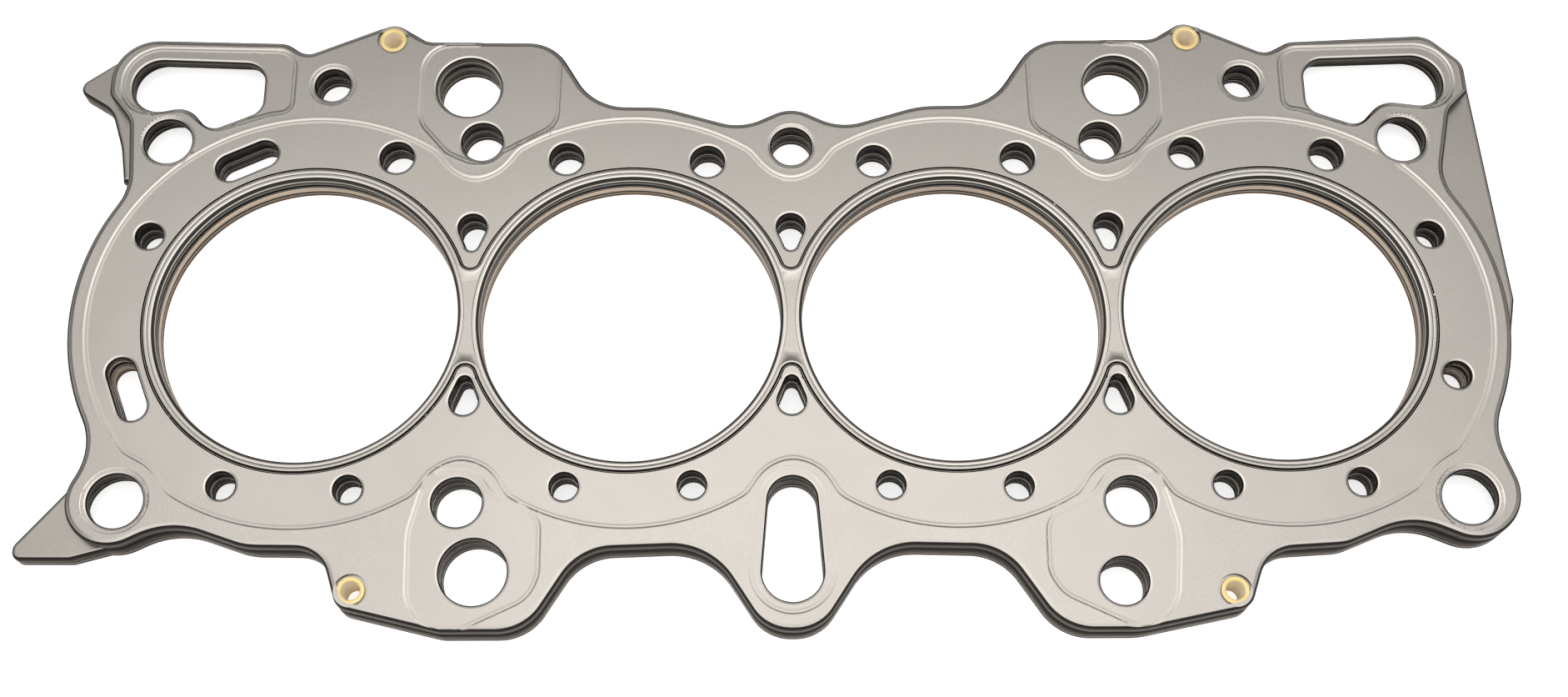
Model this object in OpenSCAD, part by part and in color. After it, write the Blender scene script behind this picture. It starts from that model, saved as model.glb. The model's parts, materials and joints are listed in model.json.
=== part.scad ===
// Multi-layer steel cylinder head gasket for an inline four-cylinder engine.
// X runs along the crankshaft line, Y across the deck, Z up out of the block.
// The origin is midway between the two middle bores, on the underside.

/* [Bores] */
// Diameter of each cylinder bore
bore_d = 84; // [76:0.5:96]
// Width of metal between the edges of neighbouring bores
bore_web = 6; // [5.5:0.5:11]
// Land from a bore's edge to the rounded end of the plate, at the drawn bore pitch
end_land = 24; // [22:0.5:24.5]

/* [Stack] */
// Thickness of the top sheet, over its highest lands
top_t = 2.2; // [1.9:0.1:4]
// Thickness of the upper sheet that the bore rings are folded round
upper_t = 1.2; // [0.6:0.1:2]
// Thickness of the set-back shim under the upper sheet
upper_shim_t = 2; // [1:0.1:2.5]
// Thickness of the spacer sheet
spacer_t = 2.8; // [1.5:0.1:4]
// Thickness of the set-back shim under the spacer sheet
lower_shim_t = 1.1; // [0.5:0.1:1.5]
// Thickness of the bottom sheet
bottom_t = 1.7; // [1.3:0.1:3]
// How far the shims are set back from the holes
shim_setback = 0.9; // [0.4:0.1:1.2]
// How far the shims are set back from the outer edge
edge_setback = 0.7; // [0.3:0.1:1.2]
// How far the spacer sheet stands into the coolant holes
spacer_lip = 0.3; // [0.1:0.05:0.5]

/* [Embossing] */
// Depth of the pressed fields below the lands of the top sheet
emboss_h = 0.5; // [0.2:0.05:0.7]
// Width of the sloping edge round each pressed field
emboss_w = 0.9; // [0.4:0.1:1.2]
// Steps that make up each sloping edge
emboss_steps = 2; // [1:1:4]
// Radial distance from a bore's edge to the scalloped half bead
field_land = 19.2; // [18.6:0.1:19.6]
// Clearance between a head bolt hole and the scalloped half bead
bolt_land = 3.6; // [3:0.1:4.2]
// Width of the groove round the bores
groove_w = 0.6; // [0.4:0.1:0.8]
// Depth of the groove below the pressed field
groove_h = 0.35; // [0.2:0.05:0.6]
// Radial distance from a bore's edge to the middle of the groove
groove_land = 3.3; // [3.1:0.05:3.6]
// Radius of the groove where it turns between two bores
groove_fillet = 2.8; // [2:0.1:3.2]
// Depth of the bead grooves on the underside
under_bead_h = 0.3; // [0.1:0.05:0.5]

/* [Bore rings] */
// Radial thickness of the folded ring's wall
ring_wall = 0.5; // [0.3:0.05:0.8]
// Width of the ring's flange on the top sheet, from the bore's edge
ring_flange_w = 1.8; // [1.2:0.1:2]
// Thickness of the ring's two flanges
ring_flange_t = 0.4; // [0.2:0.05:0.6]
// How far the ring's flange lies below the lands of the top sheet
ring_drop = 0.15; // [0:0.05:0.3]
// Clearance round each bore ring
ring_gap = 0.1; // [0.05:0.05:0.2]

/* [Bolt and oil holes] */
// Radius of the inner head bolt holes on the upper side of the plan
bolt_up_r = 5.8; // [5:0.1:6.2]
// Radius of the inner head bolt holes on the lower side of the plan
bolt_dn_r = 6.8; // [6:0.1:7.2]
// Radius of the corner bolt holes on the upper side of the plan
corner_up_r = 6.8; // [6:0.1:7.2]
// Radius of the corner dowel holes on the lower side of the plan
corner_dn_r = 7.5; // [6.5:0.1:8]
// Width of the dish pressed round each corner dowel hole
dish_corner_w = 1.8; // [1:0.1:2]
// Width of the dish pressed round each head bolt hole on the upper side of the plan
dish_bolt_w = 1.3; // [0.6:0.1:1.5]
// Width of the dish pressed round each oil feed hole
dish_feed_w = 1.8; // [1:0.1:2]
// How much wider the top sheet's large upper oil holes are than the holes under them
sink_oil_w = 0.5; // [0.2:0.1:0.8]
// How much wider the upper corner bolt holes are in the sheets under the upper shim
low_corner_up_w = 2.3; // [1:0.1:2.4]
// How much wider the lower corner dowel holes are in the sheets under the upper shim
low_corner_dn_w = 1.6; // [0.5:0.1:2]
// How much wider the oil ports are in the sheets under the upper shim
low_port_w = 1; // [0.5:0.1:1.2]
// Radius of the large oil return holes
oil_big_r = 9.1; // [8:0.1:9.4]
// Radius of the small oil return hole
oil_small_r = 6.5; // [5:0.1:7]
// Radius of the two oil feed holes
feed_r = 5; // [4:0.1:5.6]

/* [Coolant holes] */
// Radius of the coolant holes on the upper side of the plan
coolant_up_r = 4.7; // [3.5:0.05:5]
// Radius of the coolant holes on the lower side of the plan
coolant_dn_r = 3.8; // [3:0.05:4.2]
// Radial distance from a bore's edge to the coolant hole centres
coolant_land = 10.1; // [9.6:0.1:10.4]
// Radius of the wide end of the coolant drops between the bores
drop_wide_r = 3.9; // [3:0.05:4.1]
// Radius of the narrow end of the coolant drops
drop_narrow_r = 1.9; // [1.4:0.05:2.2]
// Radius of the ends of the two coolant slots
slot_r = 4; // [3:0.1:4.2]
// Radius of the narrow end of the middle bolt slot
mid_slot_narrow_r = 6.7; // [5.5:0.1:7]
// Radius of the wide end of the middle bolt slot
mid_slot_wide_r = 8.3; // [7:0.1:8.6]

/* [Eyelets] */
// Radius of an eyelet's hole
eyelet_hole_r = 2.5; // [1.5:0.1:2.6]
// Wall thickness of an eyelet
eyelet_wall = 0.6; // [0.4:0.05:0.8]
// Radius of an eyelet's rolled head
eyelet_head_r = 3.9; // [3.7:0.1:4.2]
// Thickness of an eyelet's rolled head
eyelet_head_t = 0.9; // [0.5:0.05:1]
// Width of the gap round an eyelet's head
eyelet_head_gap = 0.6; // [0.2:0.1:0.8]
// Clearance round an eyelet's wall
eyelet_gap = 0.05; // [0.02:0.01:0.1]

/* [Hidden] */

// Overlap that keeps cuts clean
eps = 0.02;
// Largest distance between an outline's arc and the chords that stand for it
chord_error = 0.03;
round_fn = 96;

// Heights of the faces between the sheets
z_lower_shim = bottom_t;
z_spacer = z_lower_shim + lower_shim_t;
z_upper_shim = z_spacer + spacer_t;
z_upper = z_upper_shim + upper_shim_t;
z_top = z_upper + upper_t;
z_land = z_top + top_t;
z_field = z_land - emboss_h;

bore_r = bore_d / 2;
bore_pitch = bore_d + bore_web;
// The plan's offsets are drawn for this bore pitch, and follow the real one
drawn_pitch = 90;
plan_scale = bore_pitch / drawn_pitch;
end_r = bore_r + end_land * plan_scale;
field_r = bore_r + field_land;
sheet_bore_r = bore_r + ring_wall + ring_gap;
rebate_r = bore_r + ring_flange_w + ring_gap;
shim_bore_r = rebate_r + eps;
eyelet_r = eyelet_hole_r + eyelet_wall;
BORES = [-1.5, -0.5, 0.5, 1.5];

// A plan point: dx from station k of the bore pitch, e beyond the bore's edge, corner radius r,
// all three for the drawn pitch. up lies on the +Y side of the plan and dn on the -Y side.
function up(k, dx, e, r = 0) =
    [k * bore_pitch + dx * plan_scale, bore_r + e * plan_scale, r * plan_scale];
function dn(k, dx, e, r = 0) = let (p = up(k, dx, e, r)) [p[0], -p[1], p[2]];
// A plan point round bore k: at an angle, and land beyond the bore's edge.
function round_bore(k, angle, land) =
    [k * bore_pitch + (bore_r + land) * cos(angle), (bore_r + land) * sin(angle)];

// The corner whose rounding is the plate's end, an arc about bore k from one angle to another.
function end_corner(k, a0, a1) =
    let (mid = (a0 + a1) / 2, d = end_r / cos((a1 - a0) / 2))
    [k * bore_pitch + d * cos(mid), d * sin(mid), end_r];

function unit(v) = v / norm(v);
function xy(p) = [p[0], p[1]];

// Points of one rounded corner b between its neighbours a and c; b[2] is the radius.
function corner_arc(a, b, c) =
    let (
        u = unit(xy(a) - xy(b)),
        v = unit(xy(c) - xy(b)),
        half = acos(max(-1, min(1, u * v))) / 2,
        turn = 180 - 2 * half,
        r = b[2],
        mid = xy(b) + unit(u + v) * r / sin(half),
        start = xy(b) + u * r / tan(half) - mid,
        side = u[0] * v[1] - u[1] * v[0] > 0 ? -1 : 1,
        n = r == 0 ? 1 : max(2, ceil(turn / 2 / acos(1 - chord_error / r)))
    )
    r == 0 || turn < 1 ? [xy(b)] :
    [for (i = [0:n]) let (t = side * turn * i / n)
        mid + [start[0] * cos(t) - start[1] * sin(t), start[0] * sin(t) + start[1] * cos(t)]];

// Outline through corners [x, y, radius], each corner rounded by a tangent arc.
function rounded(corners) =
    let (n = len(corners))
    [for (i = [0:n - 1]) each corner_arc(corners[(i + n - 1) % n], corners[i], corners[(i + 1) % n])];

module rounded_shape(corners) {
    polygon(rounded(corners));
}

// Points along an arc of this centre and radius, from one angle to another.
function arc_points(c, r, a0, a1) =
    let (n = ceil(abs(a1 - a0) / 2 / acos(1 - chord_error / r)))
    [for (i = [0:n]) let (t = a0 + (a1 - a0) * i / n) c + r * [cos(t), sin(t)]];

// A slot with round ends: radius rp about p and rq about q.
module taper_slot(p, rp, q, rq) {
    half = acos((rp - rq) / norm(q - p));
    dir = atan2(q[1] - p[1], q[0] - p[0]);
    polygon(concat(arc_points(p, rp, dir + half, dir + 360 - half),
        arc_points(q, rq, dir - half, dir + half)));
}

// Outline of the plate, without its three low tabs, clockwise from the left end.
PLATE = [
    end_corner(-1.5, 149, 206),
    up(-2, -8.4, -2.9, 16), up(-2, -10.4, 19, 6), up(-2, -17.1, 27.5, 5), up(-2, -17, 45.5, 13),
    up(-1.5, -11.8, 44.15, 7), up(-1.5, -6, 40.1, 5), up(-1, -25.4, 50.8, 5.2), up(-1, -15.6, 44.6, 6),
    up(-1, 21, 44.3, 13), up(-0.5, -11.5, 23.4, 16), up(-0.5, 8, 23.2, 30), up(0, -14, 16.4, 16),
    up(0, 0.3, 23.3, 11),
    up(0, 14.6, 16.4, 16), up(0.5, -7.5, 23.5, 30), up(0.5, 12.8, 23.7, 16), up(1, -18.2, 45, 14),
    up(1, 16.3, 45.1, 7), up(1, 25.6, 51.1, 5.4), up(1.5, 4.3, 40.3, 5), up(1.5, 11.3, 44.2, 6),
    up(2, 7, 46.2, 8), up(2, 17, 37, 6), up(2, 17.3, 27.6, 1.5), up(2, 11.2, 21.5, 6),
    up(2, 6.3, -0.6, 14.5),
    end_corner(1.5, 32, -23),
    dn(2, 12.2, -7.8, 19), dn(2, 19.5, 13.1, 13), dn(2, 6.7, 24.8, 13), dn(2, -12.9, 16.5, 20),
    dn(1.5, 13.6, 24.1, 14), dn(1.5, -7.7, 25.4, 10.4), dn(1, 31.8, 41, 5.5), dn(1, 2.5, 47.1, 25),
    dn(1, -18.5, 47.1, 15.5), dn(0.5, 11.3, 24.4, 16), dn(0, 22.4, 23.6, 19.5), dn(0, 7.3, 47.1, 12.4),
    dn(0, -7.3, 47.1, 12.4), dn(0, -22.4, 23.6, 19.5), dn(-0.5, -11.8, 24.8, 16), dn(-1, 19.2, 47.2, 14),
    dn(-1, -3.5, 47.2, 10), dn(-1, -31.2, 40.4, 5), dn(-1.5, 8.8, 24.3, 9.5), dn(-1.5, -11.6, 24, 20),
    dn(-2, 12.8, 16.8, 22), dn(-2, -6.1, 26.1, 12.4), dn(-2, -18.7, 12.9, 12.4), dn(-2, -10, -4.1, 18)
];

// The lower sheets' tabs, which stand out under the top one: upper left ear, lower left ear, right flank.
EAR_UP = [up(-2, -12, 44.7, 0), up(-2, -29.4, 32.1, 3), up(-2, -17.4, 24.6, 8), up(-2, -13.6, 13, 20),
    up(-2, -11.8, 2, 0), up(-2, -4, 2, 0), up(-2, -4, 38, 0)];
EAR_DN = [dn(-2, 2, 21.5, 0), dn(-2, -14.5, 26, 4), dn(-2, -30.4, 25.9, 2.5), dn(-2, -30.4, 21.9, 2.5),
    dn(-2, -15.6, 4.3, 0), dn(-2, -6, 4, 0)];
FLANK = [up(2, 4, 33, 0), up(2, 19, 34.5, 2), up(2, 24.6, -35.3, 2), up(2, 20.5, -56, 0), up(2, 4, -56, 0)];

// The two oil ports, each with a notch round the corner bolt.
PORT_LEFT = [up(-2, -10.3, 38.6, 8), up(-2, 27.7, 37.1, 6), up(-2, 27.6, 22.1, 5),
    up(-2, 12.8, 15.7, 4.5), up(-2, 6.2, 23.5, 7), up(-2, -10.3, 20.1, 8)];
PORT_RIGHT = [up(2, 10, 39.4, 8.5), up(2, 10, 22.3, 7), up(2, -8.4, 24.7, 8),
    up(2, -15.6, 16.7, 4.5), up(2, -30.1, 22, 5), up(2, -30.2, 38, 6)];

// Bolt and oil holes: [centre, radius, width of its dish, how much wider the top sheet's hole is,
// how the low hole, under the upper shim, is moved in X and Y, how much wider the low hole is].
ROUND_HOLES = [
    [up(-2, 1.5, 12.3), corner_up_r, dish_bolt_w, 0, [0.1, 0.5], low_corner_up_w],
    [up(-1, 1.6, 11.9), bolt_up_r, dish_bolt_w, 0, [0, 0], 0],
    [up(0, 0.3, 10.3), bolt_up_r, dish_bolt_w, 0, [0, 0], 0],
    [up(1, -0.8, 11.9), bolt_up_r, dish_bolt_w, 0, [0, 0], 0],
    [up(2, -3.8, 12.3), corner_up_r, dish_bolt_w, 0, [-0.6, 1.2], low_corner_up_w],
    [dn(-2, -2.4, 11), corner_dn_r, dish_corner_w, 0, [-0.7, -0.3], low_corner_dn_w],
    [dn(-1, -0.5, 11.7), bolt_dn_r, 0, 0, [0, 0], 0],
    [dn(1, 1.4, 11.7), bolt_dn_r, 0, 0, [0, 0], 0],
    [dn(2, 3.2, 11), corner_dn_r, dish_corner_w, 0, [0.8, 0.2], low_corner_dn_w],
    [up(-1.5, 2.5, 30.2), feed_r, dish_feed_w, 0, [0, 0], 0],
    [up(1.5, -3.6, 31), feed_r, dish_feed_w, 0, [0, 0], 0],
    [up(-1, -3, 29.5), oil_big_r - 0.3, 0, sink_oil_w, [0, 0], 0],
    [up(1, 4.6, 29.9), oil_big_r - 0.3, 0, sink_oil_w, [0, 0], 0],
    [dn(-1, 4.7, 31), oil_big_r, 0, 0, [0, 0], 0],
    [dn(1, -1.7, 33.9), oil_small_r, 0, 0, [0, 0], 0]
];
// The oil ports, and how each is moved in X and Y under the upper shim
PORTS = [[PORT_LEFT, [-1.2, 2.6, 0]], [PORT_RIGHT, [0.4, 2.1, 0]]];

// Coolant holes: [bore station, angle round the bore, extra land, radius].
COOLANT = [
    [-1.5, 151.7, 0, coolant_dn_r], [-1.5, 65.4, 1.8, coolant_up_r],
    [-0.5, 111.4, 0, coolant_up_r], [-0.5, 65.9, 0, coolant_up_r],
    [0.5, 113.8, 0, coolant_up_r], [0.5, 67.4, 0.4, coolant_up_r],
    [1.5, 113, 2.3, coolant_up_r], [1.5, 69, 0.9, coolant_up_r],
    [1.5, 27.9, 0, coolant_dn_r], [1.5, -20.1, 0, coolant_dn_r],
    [-1.5, 248.4, 0.4, coolant_dn_r], [-1.5, 286.6, 0, coolant_dn_r],
    [-0.5, 251.2, 0, coolant_dn_r], [-0.5, 290, 0, coolant_dn_r],
    [0.5, 249.6, 0.2, coolant_dn_r], [0.5, 288.4, 0, coolant_dn_r],
    [1.5, 251, 0, coolant_dn_r], [1.5, 291.9, 0.3, coolant_dn_r]
];

// Coolant slots round the first bore: [start, end].
SLOTS = [
    [up(-2, 20, 3.9), up(-2, 29.3, 8.3)],
    [up(-2, -4.6, -58), dn(-2, -0.6, -15.9)]
];

EYELETS = [up(-1, -25.9, 44.9), up(1, 26.2, 45.2), dn(-1, -27.4, 36), dn(1, 27.6, 36.7)];

// Middle bolt slot, from its narrow end to its wide end
MID_SLOT = [dn(0, 0, 11.3), dn(0, 0, 31)];

// The two pressed fields round the lower hole pairs, in the shape of pears.
PEAR_LEFT = [dn(-1, -9, 2.4, 8), dn(-1, -13.7, 20, 20), dn(-1, -13, 43, 12), dn(-1, -1, 48.5, 8),
    dn(-1, 20, 38.6, 10), dn(-1, 22.6, 32, 8), dn(-1, 22.4, 15.5, 6), dn(-1, 9, 9.4, 9), dn(-1, 5, 2.4, 8)];
PEAR_RIGHT = [dn(1, -4.6, 2.4, 8), dn(1, -8.6, 9.4, 9), dn(1, -21.8, 16.3, 6), dn(1, -22, 31.5, 8),
    dn(1, -18.4, 37.6, 10), dn(1, 2.6, 47.6, 8), dn(1, 12.6, 42, 12), dn(1, 14.4, 21, 20),
    dn(1, 9.4, 2.4, 8)];
// The pressed fields round the oil ports
PANEL_LEFT = [up(-2, -13.7, 42.8, 11), up(-2, 36.8, 41.6, 6), up(-2, 36.8, 20.9, 4), up(-2, 31, 20.6, 12),
    up(-2, 14, 14.8, 6), up(-2, 5, 22, 6), up(-2, -13.7, 19.6, 9)];
PANEL_RIGHT = [up(2, 13.5, 43.4, 11), up(2, 13.5, 20.8, 9), up(2, -8, 23.4, 6), up(2, -16.2, 15.6, 6),
    up(2, -33, 21.5, 6), up(2, -37.6, 21.7, 3.5), up(2, -37.6, 42, 6)];
// The pressed fields round the large oil holes; they run out over the plate's edge
BAY_LEFT = [up(-1, -17.2, 43.6, 9), up(-1, 0, 43.8, 3), up(-1, 4, 54, 0), up(-1, 24.1, 54, 0),
    up(-1, 23.4, 17, 7), up(-1, 8.5, 8.6, 6), up(-1, 0, 4, 6), up(-1, -8.5, 8, 6), up(-1, -17.2, 18, 8)];
BAY_RIGHT = [up(1, -21.6, 54, 0), up(1, -2, 54, 0), up(1, 2, 44, 3), up(1, 17.6, 43.6, 9),
    up(1, 17.6, 18, 8), up(1, 9, 8, 6), up(1, -1, 4, 6), up(1, -9, 8.6, 6), up(1, -20.8, 16.5, 7)];

// The outline of the upper sheets, smaller by inset.
module plate_2d(inset = 0) {
    offset(delta = -inset) rounded_shape(PLATE);
}

// The outline of the lower sheets, which have the tabs, smaller by inset.
module plate_with_tabs_2d(inset = 0) {
    offset(delta = -inset)
        for (shape = [PLATE, EAR_UP, EAR_DN, FLANK])
            rounded_shape(shape);
}

// Every opening except the bores, wider by grow; the coolant openings by grow plus lip.
// low is 1 for the sheets under the upper shim and 0 for the others.
module openings_2d(grow = 0, lip = 0, low = 0) {
    for (h = ROUND_HOLES)
        translate(xy(h[0]) + low * plan_scale * h[4]) circle(h[1] + grow + low * h[5], $fn = round_fn);
    for (c = COOLANT)
        translate(round_bore(c[0], c[1], coolant_land + c[2])) circle(c[3] + grow + lip, $fn = round_fn);
    for (k = [-1, 0, 1]) {
        taper_slot(xy(up(k, 0, -14.8)), drop_wide_r + grow + lip,
            xy(up(k, 0, -20)), drop_narrow_r + grow + lip);
        taper_slot(xy(dn(k, 0, -17.2)), drop_wide_r + grow + lip,
            xy(dn(k, 0, -22.5)), drop_narrow_r + grow + lip);
    }
    for (s = SLOTS)
        taper_slot(xy(s[0]), slot_r + grow + lip, xy(s[1]), slot_r + grow + lip);
    taper_slot(xy(MID_SLOT[0]), mid_slot_narrow_r + grow, xy(MID_SLOT[1]), mid_slot_wide_r + grow);
    for (port = PORTS)
        offset(delta = grow + low * low_port_w)
            rounded_shape([for (p = port[0]) p + low * plan_scale * port[1]]);
}

// The dishes round the holes of the top sheet, smaller by inset.
module dishes_2d(inset) {
    for (h = ROUND_HOLES)
        if (h[2] > 0) translate(xy(h[0])) circle(h[1] + h[2] - inset, $fn = round_fn);
}

// The wider holes of the top sheet, over the large oil holes of the sheets below.
module wide_holes_2d() {
    for (h = ROUND_HOLES)
        if (h[3] > 0) translate(xy(h[0])) circle(h[1] + h[3], $fn = round_fn);
}

module bores_2d(r) {
    for (k = BORES)
        translate([k * bore_pitch, 0]) circle(r, $fn = 2 * round_fn);
}

module eyelet_holes_2d(r) {
    for (e = EYELETS)
        translate(xy(e)) circle(r, $fn = round_fn);
}

// The scalloped field round the four bores, which passes inside the bolt holes, smaller by inset.
module bore_field_2d(inset = 0) {
    difference() {
        bores_2d(field_r - inset);
        for (k = [-1, 0, 1]) {
            translate(xy(up(k, 0.4, 11.4))) circle(bolt_dn_r + bolt_land + inset, $fn = round_fn);
            translate(xy(dn(k, 0.3, 11.5))) circle(bolt_dn_r + bolt_land + 1 + inset, $fn = round_fn);
        }
        for (i = [5, 8])
            translate(xy(ROUND_HOLES[i][0])) circle(corner_dn_r + 4.5 + inset, $fn = round_fn);
    }
}

// The fields pressed below the lands of the top sheet.
module fields_2d(inset = 0) {
    bore_field_2d(inset);
    dishes_2d(inset);
    for (field = [PEAR_LEFT, PEAR_RIGHT, PANEL_LEFT, PANEL_RIGHT, BAY_LEFT, BAY_RIGHT])
        offset(delta = -inset) rounded_shape(field);
    taper_slot(xy(MID_SLOT[0]), mid_slot_narrow_r + 2.2 - inset,
        xy(MID_SLOT[1]), mid_slot_wide_r + 3.4 - inset);
}

// The part of the plan within a band of this width round all the bores, filleted between them.
module bore_band_2d(land) {
    r = bore_r + land;
    fillet_y = sqrt(pow(r + groove_fillet, 2) - pow(bore_pitch / 2, 2));
    lean = atan2(bore_pitch / 2, fillet_y);
    arc = [for (i = [0:8]) let (t = -90 - lean + lean * i / 4)
        [groove_fillet * cos(t), fillet_y + groove_fillet * sin(t)]];
    bores_2d(r);
    for (k = [-1, 0, 1])
        translate([k * bore_pitch, 0])
            polygon(concat(arc, [for (i = [8:-1:0]) [arc[i][0], -arc[i][1]]]));
}

module flat_sheet(z, t) {
    translate([0, 0, z]) linear_extrude(t) children();
}

module top_sheet() {
    color([0.70, 0.68, 0.65])
        difference() {
            flat_sheet(z_top, top_t) plate_2d();
            flat_sheet(z_top - eps, top_t + 2 * eps) {
                openings_2d();
                wide_holes_2d();
                bores_2d(sheet_bore_r);
                eyelet_holes_2d(eyelet_r + eyelet_gap);
            }
            // Pressed fields, each edge in steps, less the raised band next to the bores
            for (i = [1:emboss_steps])
                flat_sheet(z_land - emboss_h * i / emboss_steps, emboss_h + eps)
                    difference() {
                        fields_2d(emboss_w * (i - 1) / emboss_steps);
                        bore_band_2d(groove_land - groove_w / 2);
                    }
            // Groove round the raised band
            flat_sheet(z_field - groove_h, groove_h + emboss_h + eps)
                difference() {
                    bore_band_2d(groove_land + groove_w / 2);
                    bore_band_2d(groove_land - groove_w / 2);
                }
            // Rebates for the flanges of the bore rings
            flat_sheet(z_land - ring_drop - ring_flange_t, top_t) bores_2d(rebate_r);
            flat_sheet(z_land - eyelet_head_t, top_t) eyelet_holes_2d(eyelet_head_r + eyelet_head_gap);
        }
}

module upper_sheet() {
    color([0.62, 0.61, 0.59])
        flat_sheet(z_upper, upper_t)
            difference() {
                plate_2d();
                openings_2d();
                bores_2d(sheet_bore_r);
                eyelet_holes_2d(eyelet_r + eyelet_gap);
            }
}

module upper_shim() {
    color([0.25, 0.25, 0.25])
        flat_sheet(z_upper_shim, upper_shim_t)
            difference() {
                plate_2d(edge_setback);
                openings_2d(shim_setback);
                bores_2d(shim_bore_r);
                eyelet_holes_2d(eyelet_r + eyelet_gap);
            }
}

module spacer_sheet() {
    color([0.66, 0.61, 0.55])
        flat_sheet(z_spacer, spacer_t)
            difference() {
                plate_with_tabs_2d();
                openings_2d(0, -spacer_lip, 1);
                bores_2d(bore_r);
                eyelet_holes_2d(eyelet_r + eyelet_gap);
            }
}

module lower_shim() {
    color([0.25, 0.25, 0.25])
        flat_sheet(z_lower_shim, lower_shim_t)
            difference() {
                plate_with_tabs_2d(edge_setback);
                openings_2d(shim_setback, 0, 1);
                bores_2d(bore_r + shim_setback);
                eyelet_holes_2d(eyelet_r + eyelet_gap);
            }
}

module bottom_sheet() {
    color([0.50, 0.45, 0.40])
        difference() {
            flat_sheet(0, bottom_t) plate_with_tabs_2d();
            flat_sheet(-eps, bottom_t + 2 * eps) {
                openings_2d(0, 0, 1);
                bores_2d(bore_r);
                eyelet_holes_2d(eyelet_r + eyelet_gap);
            }
            flat_sheet(-eps, eyelet_head_t + eps) eyelet_holes_2d(eyelet_head_r + eyelet_head_gap);
            // Bead grooves: the scalloped one, and the one round the bores
            flat_sheet(-eps, under_bead_h + eps) {
                difference() {
                    bore_field_2d();
                    bore_field_2d(emboss_w);
                }
                difference() {
                    bore_band_2d(groove_land + groove_w / 2);
                    bore_band_2d(groove_land - groove_w / 2);
                }
            }
        }
}

// A steel ring folded round the bore edge of the top and upper sheets, with a flange each side.
module bore_ring(k) {
    low = z_upper - ring_flange_t;
    high = z_land - ring_drop;
    flange_r = bore_r + ring_flange_w;
    nose = ring_flange_t / 2;
    color([0.78, 0.76, 0.73])
        translate([k * bore_pitch, 0, 0])
            rotate_extrude($fn = 2 * round_fn)
                polygon([
                    [bore_r, low + nose],
                    [bore_r + nose, low],
                    [flange_r, low],
                    [flange_r, z_upper],
                    [bore_r + ring_wall, z_upper],
                    [bore_r + ring_wall, high - ring_flange_t],
                    [flange_r, high - ring_flange_t],
                    [flange_r, high - nose / 2],
                    [flange_r - nose / 2, high],
                    [bore_r + nose, high],
                    [bore_r, high - nose]
                ]);
}

// A brass tube rolled over into a head at each face of the stack.
module eyelet(p) {
    bevel = eyelet_head_t / 3;
    color([0.83, 0.66, 0.30])
        translate(xy(p))
            rotate_extrude($fn = round_fn)
                polygon([
                    [eyelet_hole_r, bevel],
                    [eyelet_hole_r + bevel, 0],
                    [eyelet_head_r - bevel, 0],
                    [eyelet_head_r, bevel],
                    [eyelet_head_r, eyelet_head_t],
                    [eyelet_r, eyelet_head_t],
                    [eyelet_r, z_land - eyelet_head_t],
                    [eyelet_head_r, z_land - eyelet_head_t],
                    [eyelet_head_r, z_land - bevel],
                    [eyelet_head_r - bevel, z_land],
                    [eyelet_hole_r + bevel, z_land],
                    [eyelet_hole_r, z_land - bevel]
                ]);
}

top_sheet();
upper_sheet();
upper_shim();
spacer_sheet();
lower_shim();
bottom_sheet();
for (i = [0:3])
    bore_ring(BORES[i]);
for (i = [0:3])
    eyelet(EYELETS[i]);
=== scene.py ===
# Looks of the cylinder head gasket: a stack of pressed steel sheets, ringed bores and brass eyelets.
import json
import math

import bpy
import numpy as np
from mathutils import Matrix, Vector
from mathutils.geometry import delaunay_2d_cdt

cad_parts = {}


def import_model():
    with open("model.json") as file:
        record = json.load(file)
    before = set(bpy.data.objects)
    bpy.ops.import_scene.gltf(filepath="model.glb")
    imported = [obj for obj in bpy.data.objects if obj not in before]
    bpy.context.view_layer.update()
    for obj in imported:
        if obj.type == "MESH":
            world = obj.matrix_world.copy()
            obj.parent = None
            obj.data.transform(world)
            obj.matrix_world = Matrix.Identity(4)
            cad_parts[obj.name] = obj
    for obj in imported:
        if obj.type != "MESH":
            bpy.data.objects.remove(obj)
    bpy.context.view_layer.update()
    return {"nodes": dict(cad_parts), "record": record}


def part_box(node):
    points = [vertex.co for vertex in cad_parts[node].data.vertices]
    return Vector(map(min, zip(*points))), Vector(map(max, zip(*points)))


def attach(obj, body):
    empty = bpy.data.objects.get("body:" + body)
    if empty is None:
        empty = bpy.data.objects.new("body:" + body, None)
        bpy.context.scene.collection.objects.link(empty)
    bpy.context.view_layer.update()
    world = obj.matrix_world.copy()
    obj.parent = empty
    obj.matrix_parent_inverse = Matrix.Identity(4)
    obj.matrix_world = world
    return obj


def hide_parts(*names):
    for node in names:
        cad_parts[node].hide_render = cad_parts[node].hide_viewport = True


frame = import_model()
NODES = frame["nodes"]


MM = 0.001

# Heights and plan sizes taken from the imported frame, in millimetres
MOUNTS = {m["name"]: m for m in frame["record"]["mounts"]}
BORES = np.array([MOUNTS["cylinder_bore_%d" % (i + 1)]["pos_m"][:2] for i in range(4)]) / MM
BORE_R = MOUNTS["cylinder_bore_1"]["dims"]["r_mm"]
PITCH = BORES[1][0] - BORES[0][0]


def heights(node):
    low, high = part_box(node)
    return low.z / MM, high.z / MM


Z_TOP, Z_LAND = heights("top_sheet")

# Height of each step that is pressed into the solid's top sheet
STEP_H = 0.25
# The two slopes that stand for a step in the scene: start and end from its wall, and drop
UPPER_RAMP = (-0.2, 0.3, 0.16)
LOWER_RAMP = (0.75, 1.3, 0.08)
# How much steeper the slopes of the small dishes are
DISH_STEEPER = 2.2
# Height that the band between groove and ring rises over the pressed field
BAND_RISE = 0.23
# The groove round the band: radius about a bore, radius of its turn between two bores, and depth
GROOVE_R = BORE_R + 3.35
GROOVE_FILLET = 2.8
GROOVE_H = 0.42
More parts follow.
